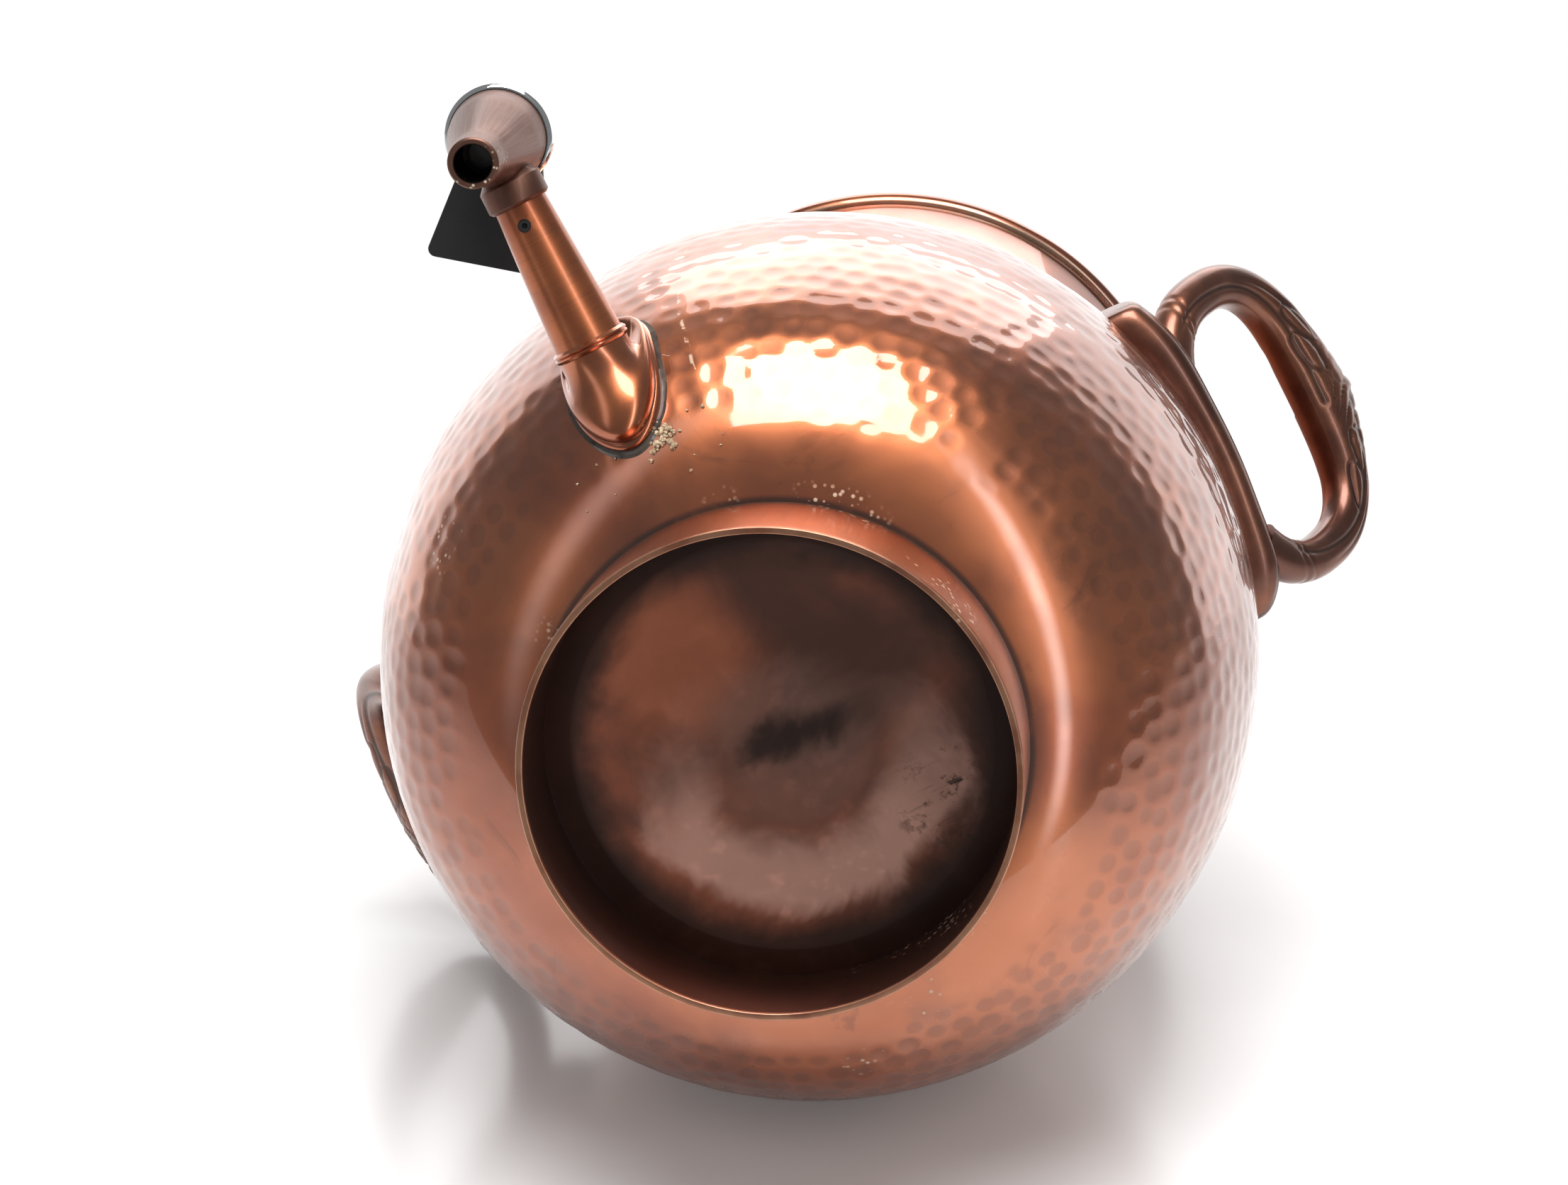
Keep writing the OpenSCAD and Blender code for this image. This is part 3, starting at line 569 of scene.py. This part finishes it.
def wallPiece(name, first, last, rows, finish, beadRows, replaced):
    # outer skin with its hammer marks, then (at the mouth) round the bead, then the inner skin back down
    angle = np.linspace(0, 2 * np.pi, bodySize["columns"], endpoint=False)
    run = np.linspace(first, last, rows)
    radius, height, outR, outZ = along(run)
    begin = runAtHeight(bodySize["baseHeight"] + 1) + hammering["start"]
    top = runAtHeight(hammering["finish"])
    topFade = 1 - ease(run, top - 25, top + 5)
    fade = ease(run, begin - 8, begin + 12) * topFade
    edge = 12 * (softNoise(angle * 5, run[:, None] * 0, 9.0) - 0.5)
    marks = hammerMarks(run, angle, hammering) * ease(run[:, None] + edge, begin - 6, begin + 8)
    marks = marks * topFade[:, None]
    level = run[:, None] / bodySize["waveHeight"]
    waves = bodySize["waveDepth"] * softNoise(angle / (2 * np.pi) * 24 % 24, level, 8.0) * fade[:, None]
    waves = waves * np.minimum(1, 12 * np.minimum(angle, 2 * np.pi - angle))
    sink = marks + waves
    skin = turned(radius[:, None] - sink * outR[:, None], height[:, None] - sink * outZ[:, None], angle)
    hollow = marks / hammering["depth"]
    inner = np.linspace(last, first, 16)
    innerR, innerZ, inR, inZ = along(inner)
    back = turned(innerR - bodySize["wall"] * inR, innerZ - bodySize["wall"] * inZ, angle)
    parts, values = [skin], [hollow]
    if beadRows:
        turn = np.radians(np.linspace(*bodySize["beadTurn"], beadRows))
        beadMiddle = bodySize["neckRadius"] + bodySize["flare"]
        bead = bodySize["bead"]
        parts.append(turned(
            beadMiddle + bead * np.cos(turn), bodySize["rimHeight"] + bead * np.sin(turn), angle))
        values.append(np.zeros((beadRows, len(angle))))
        back = back[1:]
    parts.append(back)
    values.append(np.zeros(back.shape[:2]))
    return gridPiece(
        name, np.concatenate(parts), finish, "kettle", replaced,
        ring=True, values=np.concatenate(values))


def bottomPiece():
    # dished bottom: an upward arc from the middle, then the start of the corner, then back inside
    v = bodySize
    arc = (v["flatRadius"] ** 2 + v["bottomRise"] ** 2) / (2 * v["bottomRise"])
    turn = np.linspace(0.02, 1, 40) * math.asin(v["flatRadius"] / arc)
    outR, outZ = arc * np.sin(turn), v["baseHeight"] + v["bottomRise"] - arc * (1 - np.cos(turn))
    cornerRun = np.linspace(0.5, runAtHeight(v["baseHeight"] + 0.79), 8)
    cornerR, cornerZ, normalR, normalZ = along(cornerRun)
    radius = np.concatenate([outR, cornerR, (cornerR - v["wall"] * normalR)[::-1], outR[::-1]])
    height = np.concatenate([outZ, cornerZ, (cornerZ - v["wall"] * normalZ)[::-1], outZ[::-1] + v["wall"]])
    angle = np.linspace(0, 2 * np.pi, 192, endpoint=False)
    sideways = radius[:, None] * np.cos(angle) / v["dentPitch"]
    ahead = radius[:, None] * np.sin(angle) / v["dentPitch"]
    noiseShift = 40
    dents = v["dent"] * softNoise(sideways + noiseShift, ahead + noiseShift, 2.0)
    dents = dents * ease(radius, 0, 30)[:, None] * (1 - ease(radius, 70, 80))[:, None]
    points = turned(radius, height[:, None] + dents, angle)
    return gridPiece("bottomPlate", points, finishes["tarnish"], "kettle")


footRun = float(np.interp(bodySize["footJoint"], profile[0][:200], profileRun[:200]))
splitRun = runAtHeight(bodySize["split"])
endRun = float(profileRun[-1]) - 0.6
wallPiece("hammeredBelly", footRun, splitRun, 140, finishes["belly"], 0, ())
wallPiece("hammeredShoulder", splitRun, endRun, 116, finishes["belly"], 20, ("body_shell",))
bottomPiece()
print("body made")

# foot ring
footSize = {"radius": 92.0, "top": 91.0, "wall": 2.6, "height": 46.0, "edge": 0.5, "wobble": 0.12}


def footRing(v):
    # straight leaning wall with rounded lower edge, a shade out of round
    inside = v["radius"] - v["wall"]
    topInside = v["top"] - v["wall"]
    turn = np.linspace(0, np.pi / 2, 5)
    low = v["edge"] * (1 - np.cos(turn))
    radius = np.concatenate([
        inside + v["edge"] - v["edge"] * np.sin(turn[::-1]),
        v["radius"] - v["edge"] + v["edge"] * np.sin(turn),
        np.linspace(v["radius"], v["top"], 24)[1:], np.linspace(topInside, inside, 24)[:-1]])
    height = np.concatenate([
        low[::-1], low, np.linspace(v["edge"], v["height"], 24)[1:],
        np.linspace(v["height"], v["edge"], 24)[:-1]])
    angle = np.linspace(0, 2 * np.pi, 288, endpoint=False)
    wobble = -v["wobble"] * (1 + np.cos(3 * angle + 1) * 0.6 + np.cos(7 * angle) * 0.4) / 2
    points = turned(radius[:, None] + wobble, height, angle)
    return gridPiece(
        "footRing", points, finishes["foot"], "kettle", ("foot_ring",), ring=True, sharp=60)


footRing(footSize)

# handles
gripSize = {
    "width": 114.0, "reach": 75.0, "middle": 35.0, "low": 56.0, "slope": 58.0, "shift": 7.0,
    "knuckle": 6.6, "knuckleTurn": 86.0, "bar": 8.65, "height": 228.0, "groove": 0.95,
}
strapSize = {"height": 230.0, "tall": 30.0, "length": 136.0, "thick": 11.0, "shift": 4.0}


def gripPoints(v, side):
    # a bar swept along a flattened arch, with a corner on its outer side; its section is a rounded
    # square, and the relief is cut in both faces
    t = np.linspace(180 + v["low"], -v["low"], 300)

    def arch(angle):
        turn = np.radians(angle)
        return np.stack([
            v["shift"] + v["width"] / 2 * signedPower(np.cos(turn), 0.75),
            v["middle"] + (v["reach"] - v["middle"]) * signedPower(np.sin(turn), 0.85)])

    line = arch(t)
    heading = arch(t + 1) - arch(t - 1)
    outward = np.stack([heading[1], -heading[0]]) / np.hypot(*heading)
    steps = np.hypot(*np.diff(line, axis=1))
    run = np.concatenate([[0], np.cumsum(steps)])[:, None]
    knot = run[np.argmin(np.abs(t - v["knuckleTurn"]))]
    barIn = (v["bar"] + 2.6 * bump(t, v["knuckleTurn"], 32))[:, None]
    corner = (v["knuckle"] * np.exp(-np.abs(t - v["knuckleTurn"]) / 9))[:, None]
    barOut = (v["bar"] - 0.5 + 2.5 * bump(t, v["knuckleTurn"], 40))[:, None]
    section = np.linspace(0, 2 * np.pi, 96, endpoint=False)
    across = signedPower(np.cos(section), 0.86)
    through = signedPower(np.sin(section), 0.86)
    length = float(run[-1, 0])
    ends = ease(run, 10, 26) * (1 - ease(run, length - 26, length - 10))
    face = ease(np.abs(through), 0.35, 0.75)
    away = run - knot

    def groove(place, width):
        return np.exp(-((across - place) * v["bar"] / width) ** 2)

    # one long line on each leg, then leaf strokes and crossing strands towards the knuckle
    spread = np.clip(np.abs(away) / (length / 2), 0, 1)
    winding = -0.62 + 1.1 * spread ** 2 * (away < 0) + 1.25 * (1 - spread) * (away > 0)
    long = groove(winding, 1.25) * ends
    second = groove(0.55 - 0.9 * spread, 1.1) * bump(away, -46, 22)
    second = second + groove(0.7 - 0.3 * spread, 1.0) * bump(away, 48, 20)
    slanted = (away + 7.5 * across + 2.2 * np.sin(3 * across)) / 6.4
    strokes = bump(np.mod(slanted, 1), 0.5, 0.12) * bump(away, 2, 17)
    strokes = strokes * ease(across, -0.55, -0.2)
    leaves = 0
    for middle, place, tall in ((-34, 0.2, 0.42), (-22, -0.25, 0.38), (24, 0.25, 0.40), (38, -0.15, 0.36)):
        reach = np.clip(1 - ((away - middle) / 11.0) ** 2, 0, 1)
        edge = np.abs(np.abs(across - place - 0.02 * (away - middle)) - tall * reach ** 0.6) * v["bar"]
        leaves = leaves + np.exp(-(edge / 1.05) ** 2) * (reach > 0.02) * ease(reach, 0, 0.25)
    neck = 0.35 * sum(bump(run - 5 * across, place, 1.0) + bump(run + 5 * across, length - place, 1.0)
                      for place in (19.0, 23.0))
    cut = np.clip(long + second + strokes + leaves, 0, 1.2) * face + neck
    barIn, barOut = barIn - v["groove"] * cut, barOut - v["groove"] * cut
    outerSide = np.sign(outward[1][len(t) // 2])
    reach = barIn * across + corner * ease(across * outerSide, 0, 1)
    inPlane = line[1][:, None] + outward[1][:, None] * reach
    sideways = line[0][:, None] + outward[0][:, None] * reach
    lift = barOut * through
    slope = math.radians(v["slope"])
    foot = float(bellyRadiusAt(v["height"]))
    points = np.stack([
        side * (foot + inPlane * math.cos(slope) - lift * math.sin(slope)), sideways,
        v["height"] + inPlane * math.sin(slope) + lift * math.cos(slope)], -1)
    return points, np.clip(cut, 0, 1)


def strapPoints(v, side):
    # a bar bent round the belly: one end is nearly square, the other round, and both are thicker
    # where the grip's legs join
    end = v["length"] / 2
    ratio = np.sin(np.linspace(-np.pi / 2 + 0.03, np.pi / 2 - 0.03, 120))
    place = (ratio * end)[:, None]
    squareness = np.where(ratio < 0, 9.0, 3.2)[:, None]
    taper = (1 - np.abs(ratio[:, None]) ** squareness) ** (1 / squareness)
    section = np.linspace(0, 2 * np.pi, 64, endpoint=False)
    swell = bump(place, -50, 24) + bump(place, 54, 20)
    across = v["tall"] / 2 * taper * signedPower(np.cos(section), 0.72) * (0.93 + 0.07 * swell)
    dome = np.clip(np.sin(section), 0, 1) ** 0.62
    furrow = (0.9 * bump(across, -6.5, 1.3) + 0.6 * bump(across, 9.5, 1.0)) * (dome > 0.2)
    thick = (v["thick"] - 1.0 + 3.4 * swell) * np.minimum(1, taper ** 0.7 + 0.1)
    rise = np.where(np.sin(section) > 0, thick * dome - furrow * ease(np.abs(place), end, end - 14), -2.0)
    level = v["height"] + across
    radius = bellyRadiusAt(level) + rise
    sideways = v["shift"] + place + 0 * across
    points = np.stack([side * np.sqrt(radius ** 2 - sideways ** 2), sideways, level], -1)
    return points, np.clip(furrow, 0, 1) * (np.sin(section) > 0)


for side, word in ((1, "right"), (-1, "left")):
    gripShape, gripCut = gripPoints(gripSize, side)
    gridPiece("castGrip_" + word, gripShape, finishes["cast"], "kettle", ("grip_" + word,),
              sharp=80, values=gripCut)
    strapShape, strapCut = strapPoints(strapSize, side)
    gridPiece("castStrap_" + word, strapShape, finishes["cast"], "kettle", ("strap_" + word,),
              sharp=80, values=strapCut)
print("handles made")

# spout
spoutSize = {
    "width": 37.0, "tall": 49.0, "middle": 79.0, "gasket": 0.8, "lip": 2.4,
    "tapDistance": 241.0, "tapHeight": 75.0, "rise": 4.0, "ringStart": 158.0, "ringRadius": 13.8,
}


def onSpout(v, reach, radius, angle):
    # circle about the spout's axis: angle 0 is +X, a quarter turn is up
    slope = math.radians(v["rise"])
    level = v["tapHeight"] - (v["tapDistance"] - reach) * math.tan(slope)
    return np.stack([
        radius * np.cos(angle), -reach + radius * np.sin(angle) * math.sin(slope),
        level + radius * np.sin(angle) * math.cos(slope)], -1)


def onBelly(x, z, offset):
    # point of the belly at x and z on the spout's side, pushed out by offset
    radius = bellyRadiusAt(z)
    slope = np.gradient(profile[0], profile[1] + 1e-6 * np.arange(len(profile[1])))
    lean = np.interp(z, profile[1], np.clip(slope, -8, 8))
    normal = 1 / np.sqrt(1 + lean ** 2)
    radial = radius + offset * normal
    return np.stack([x, -np.sqrt(radial ** 2 - x ** 2), z - offset * lean * normal], -1)


def bossPoints(v):
    # from the flange's outline on the belly a curve swells out and then runs in along the spout to its ring
    angle = np.linspace(0, 2 * np.pi, 128, endpoint=False)
    half, straight = v["width"] / 2, (v["tall"] - v["width"]) / 2

    def outline(shrink, offset):
        x = (half - shrink) * np.cos(angle)
        z = v["middle"] + (half - shrink) * np.sin(angle) + straight * np.tanh(4 * np.sin(angle))
        return onBelly(x, z, offset)

    base = v["gasket"] + 0.1
    rows = [outline(0.0, base), outline(0.0, base + v["lip"] * 0.45),
            outline(0.25, base + v["lip"] * 0.8), outline(1.0, base + v["lip"])]
    start = rows[-1]
    finish = onSpout(v, v["ringStart"], v["ringRadius"], angle)
    into = onSpout(v, v["ringStart"] - 13, v["ringRadius"] - 1.2, angle)
    swell = outline(-0.6, base + v["lip"] + 9.5 - 4.5 * np.sin(angle))
    t = np.linspace(0, 1, 30)[1:, None, None]
    curve = (1 - t) ** 3 * start + 3 * t * (1 - t) ** 2 * swell
    curve = curve + 3 * t ** 2 * (1 - t) * into + t ** 3 * finish
    return np.concatenate([np.stack(rows), curve])


gridPiece("spoutBoss", bossPoints(spoutSize), finishes["boss"], "kettle", ("spout_flange",),
          sharp=60)
print("spout made")

# limescale crumbs
crumbs = {
    "count": 46, "seed": 7, "cluster": (13.0, 54.5), "spread": 3.6, "size": 1.5,
    "xRange": (-26, 40), "zRange": (47.5, 60), "lump": 0.35,
}


def crumbPiece(v):
    # small lumpy balls: a coarse ball repeated with its own place, size and lumps
    rng = np.random.default_rng(v["seed"])
    turn = np.linspace(0, 2 * np.pi, 8, endpoint=False)
    tilt = np.linspace(0, np.pi, 6)[1:-1]
    ball = np.stack([
        np.sin(tilt)[:, None] * np.cos(turn), np.sin(tilt)[:, None] * np.sin(turn),
        np.cos(tilt)[:, None] * np.ones(8)], -1).reshape(-1, 3)
    ball = np.vstack([ball, [0, 0, 1], [0, 0, -1]])
    index = np.arange(32).reshape(4, 8)
    quads = np.stack([index[:-1], np.roll(index[:-1], -1, 1), np.roll(index[1:], -1, 1), index[1:]], -1)
    quads = quads.reshape(-1, 4)
    caps = np.stack([np.roll(index[0], -1), index[0], np.full(8, 32)], -1)
    ends = np.stack([index[3], np.roll(index[3], -1), np.full(8, 33)], -1)
    near = v["count"] * 2 // 3
    far = v["count"] - near
    middleX, middleZ = v["cluster"]
    x = np.concatenate([rng.normal(middleX, v["spread"], near), rng.uniform(*v["xRange"], far)])
    z = np.concatenate([rng.normal(middleZ, v["spread"] * 0.45, near), rng.uniform(*v["zRange"], far)])
    size = v["size"] * rng.uniform(0.35, 1.0, v["count"]) * np.r_[np.ones(near), np.full(far, 0.45)]
    places = onBelly(x, np.clip(z, 47.0, None), 0.25)
    lumps = 1 + v["lump"] * rng.uniform(-1, 1, (v["count"], len(ball)))
    spots = places[:, None] + ball * (size[:, None] * lumps)[..., None]
    shift = (np.arange(v["count"]) * len(ball))[:, None, None]
    faces = (quads + shift).reshape(-1, 4).tolist() + (caps + shift).reshape(-1, 3).tolist()
    faces += (ends + shift).reshape(-1, 3).tolist()
    mesh = bpy.data.meshes.new("limescaleCrumbs")
    mesh.from_pydata((spots.reshape(-1, 3) * mm).tolist(), [], faces)
    return placed("limescaleCrumbs", mesh, finishes["lime"], "kettle")


crumbPiece(crumbs)

# tap, lever and small pieces
roundedCopy("tap_body", "tapBody", finishes["tap"], "kettle", 0.35)
roundedCopy("tap_bonnet", "tapBonnet", finishes["chrome"], "kettle", 0.3)
roundedCopy("lever", "leverPaddle", finishes["black"], "lever", 0.45)

nodeFinishes = {
    "spout_tube": "tube", "spout_ring": "boss", "tap_lock_screw": "rubber", "tap_bezel": "rubber",
    "tap_seals": "rubber", "bonnet_seal": "rubber", "thrust_washer": "black", "spout_gasket": "silicone",
    "seat_cup": "silicone", "lid_seal": "silicone", "handle_screws": "steel", "handle_washers": "steel",
    "spout_washer": "steel", "spout_nut": "steel", "valve_stem": "steel", "valve_spring": "steel",
    "lever_pin": "steel", "knob_washer": "steel", "knob_screw": "steel", "rim_wire": "cast",
    "lid_dome": "lid", "lid_skirt": "lid", "lid_knob": "boss", "knob_collar": "cast",
}
for name, finish in nodeFinishes.items():
    mesh = nodes[name].data
    mesh.materials.clear()
    mesh.materials.append(finishes[finish])
# the valve spring gets a mesh of its own
spring = nodes["valve_spring"]
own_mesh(spring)
print("tap and small pieces made")

# camera, floor and light
view = {
    "place": (0.4552, -0.3918, -1.9506), "look": (-0.2071, 0.165, 0.9643), "up": (0.42, -0.8752, 0.2399),
    "lens": 130.6, "floorUp": (0.4669, -0.8731, -0.1388), "floorDrop": 0.1956,
    "floorStart": 1.55, "floorDepth": 1.2, "floorGlow": 0.07, "floorFade": 0.25,
}
look = np.array(view["look"]) / np.linalg.norm(view["look"])
rightward = np.cross(look, view["up"])
rightward = rightward / np.linalg.norm(rightward)
upward = np.cross(rightward, look)


def facing(place, right, up):
    # 4 x 4 matrix of an object whose X is right, whose Y is up and whose -Z looks ahead
    back = np.cross(right, up)
    rows = np.column_stack([right, up, back, place]).tolist()
    return Matrix(rows + [[0, 0, 0, 1]])


cameraData = bpy.data.cameras.new("camera")
cameraData.sensor_width = 36
cameraData.sensor_fit = "HORIZONTAL"
cameraData.lens = view["lens"]
cameraData.clip_end = 100
camera = bpy.data.objects.new("camera", cameraData)
bpy.context.scene.collection.objects.link(camera)
camera.matrix_world = facing(np.array(view["place"]), rightward, upward)
bpy.context.scene.camera = camera


def stagePlane(name, middle, right, up, width, tall, colour, glow, fadeDepth):
    # a one-sided sheet: seen from behind it is clear, and its glow is seen by the camera alone
    signs = ((-1, -1), (1, -1), (1, 1), (-1, 1))
    corners = [middle + right * width * a / 2 + up * tall * b / 2 for a, b in signs]
    mesh = bpy.data.meshes.new(name)
    mesh.from_pydata([c.tolist() for c in corners], [], [(0, 1, 2, 3)])
    sheet = Finish(name)
    back = sheet.node("NewGeometry", output="Backfacing")
    seen = sheet.node("LightPath", output="Is Camera Ray")
    cover = sheet.node("BsdfPrincipled", {}, {
        "Base Color": colour, "Roughness": 0.22, "Emission Strength": glow,
        "Emission Color": sheet.mixed(seen, (0.0, 0.0, 0.0), colour)})
    clear = sheet.node("BsdfTransparent")
    # the far edge fades away: distance ahead is the dot product of the place with the sheet's up direction
    far = sheet.node(
        "VectorMath", {"operation": "DOT_PRODUCT"}, {0: sheet.place(), 1: tuple(up.tolist())}, "Value")
    edge = float(middle @ up + tall / 2)
    fade = sheet.between(far, edge - fadeDepth, edge)
    sheet.node("OutputMaterial", {}, {"Surface": sheet.node("MixShader", {}, {
        0: back + (1.0 - back) * fade, 1: cover, 2: clear})})
    mesh.materials.append(sheet.owner)
    plane = bpy.data.objects.new(name, mesh)
    bpy.context.scene.collection.objects.link(plane)
    return plane


floorUp = np.array(view["floorUp"]) / np.linalg.norm(view["floorUp"])
floorRight = np.cross(look, floorUp)
floorRight = floorRight / np.linalg.norm(floorRight)
floorAhead = np.cross(floorUp, floorRight)
floorMiddle = -floorUp * view["floorDrop"]
cameraFoot = np.array(view["place"]) @ floorAhead
floorMiddle = floorMiddle + floorAhead * (cameraFoot + view["floorStart"] + view["floorDepth"] / 2)
stagePlane("floor", floorMiddle, floorRight, floorAhead, 7.0, view["floorDepth"], (0.88, 0.88, 0.88),
           view["floorGlow"], view["floorFade"])


def softbox(name, direction, distance, width, tall, power, upHint):
    # an area light that looks at the kettle's middle; direction is along the camera's right, up and look
    ray = direction[0] * rightward + direction[1] * upward + direction[2] * look
    ray = ray / np.linalg.norm(ray)
    middle = np.array([0.0, 0.0, 0.15])
    hint = upHint[0] * rightward + upHint[1] * upward + upHint[2] * look
    side = np.cross(-ray, hint)
    side = side / np.linalg.norm(side)
    data = bpy.data.lights.new(name, "AREA")
    data.shape = "RECTANGLE"
    data.size = width
    data.size_y = tall
    data.energy = power
    lamp = bpy.data.objects.new(name, data)
    bpy.context.scene.collection.objects.link(lamp)
    lamp.matrix_world = facing(middle + ray * distance, side, np.cross(side, -ray))
    return lamp


softbox("topSoftbox", direction=(-0.03, 0.80, -0.60), distance=1.5, width=1.0, tall=1.05, power=27,
        upHint=(0, 0.6, 0.8))
softbox("backWash", direction=(0.1, 0.9, 0.6), distance=2.2, width=1.8, tall=1.2, power=14,
        upHint=(0, 0, 1))

# light all round: bright behind the kettle and dim on the camera's side, with soft bands in it
world = bpy.data.worlds.new("studio")
bpy.context.scene.world = world
air = Finish("studio", world)
way = air.node("TexCoord", output="Generated")
toward = air.node("VectorMath", {"operation": "DOT_PRODUCT"}, {0: way, 1: tuple(look)}, "Value")
skyStops = ((0.0, 0.22), (0.14, 0.235), (0.32, 0.235), (0.735, 0.26), (0.775, 1.4))
glow = air.ramp(toward * 0.5 + 0.5, *skyStops)


def softBand(direction, across, width, inner, brightness):
    # a soft strip of light: brightest in a plane that holds both directions, fading across it
    # and along it away from the first
    middle = direction[0] * rightward + direction[1] * upward + direction[2] * look
    middle = middle / np.linalg.norm(middle)
    along = across[0] * rightward + across[1] * upward + across[2] * look
    flat = np.cross(middle, along)
    flat = flat / np.linalg.norm(flat)
    dot = {"operation": "DOT_PRODUCT"}
    offset = air.node("VectorMath", dot, {0: way, 1: tuple(flat.tolist())}, "Value")
    near = air.node("VectorMath", dot, {0: way, 1: tuple(middle.tolist())}, "Value")
    offset = air.node("Math", {"operation": "ABSOLUTE"}, {0: offset})
    return (1.0 - air.between(offset, 0.0, width)) * air.between(near, inner, 1.0) * brightness


rightBand, leftBand = (0.46, -0.05, -0.88), (-0.66, 0.22, -0.72)
bands = softBand(rightBand, (0, 1, 0), width=0.10, inner=0.72, brightness=5.0)
bands = bands + softBand(rightBand, (0, 1, 0), width=0.34, inner=0.5, brightness=0.35)
bands = bands + softBand(leftBand, (0.3, 1, 0), width=0.16, inner=0.72, brightness=1.1)
glow = air.node("VectorMath", {"operation": "ADD"}, {0: glow, 1: bands})
seen = air.node("LightPath", output="Is Camera Ray")
air.node("OutputWorld", {}, {"Surface": air.node("Background", {}, {
    "Color": air.mixed(seen, glow, (1.0, 1.0, 1.0)), "Strength": 1.0})})
bpy.context.scene.view_settings.view_transform = "Standard"
print("stage made")
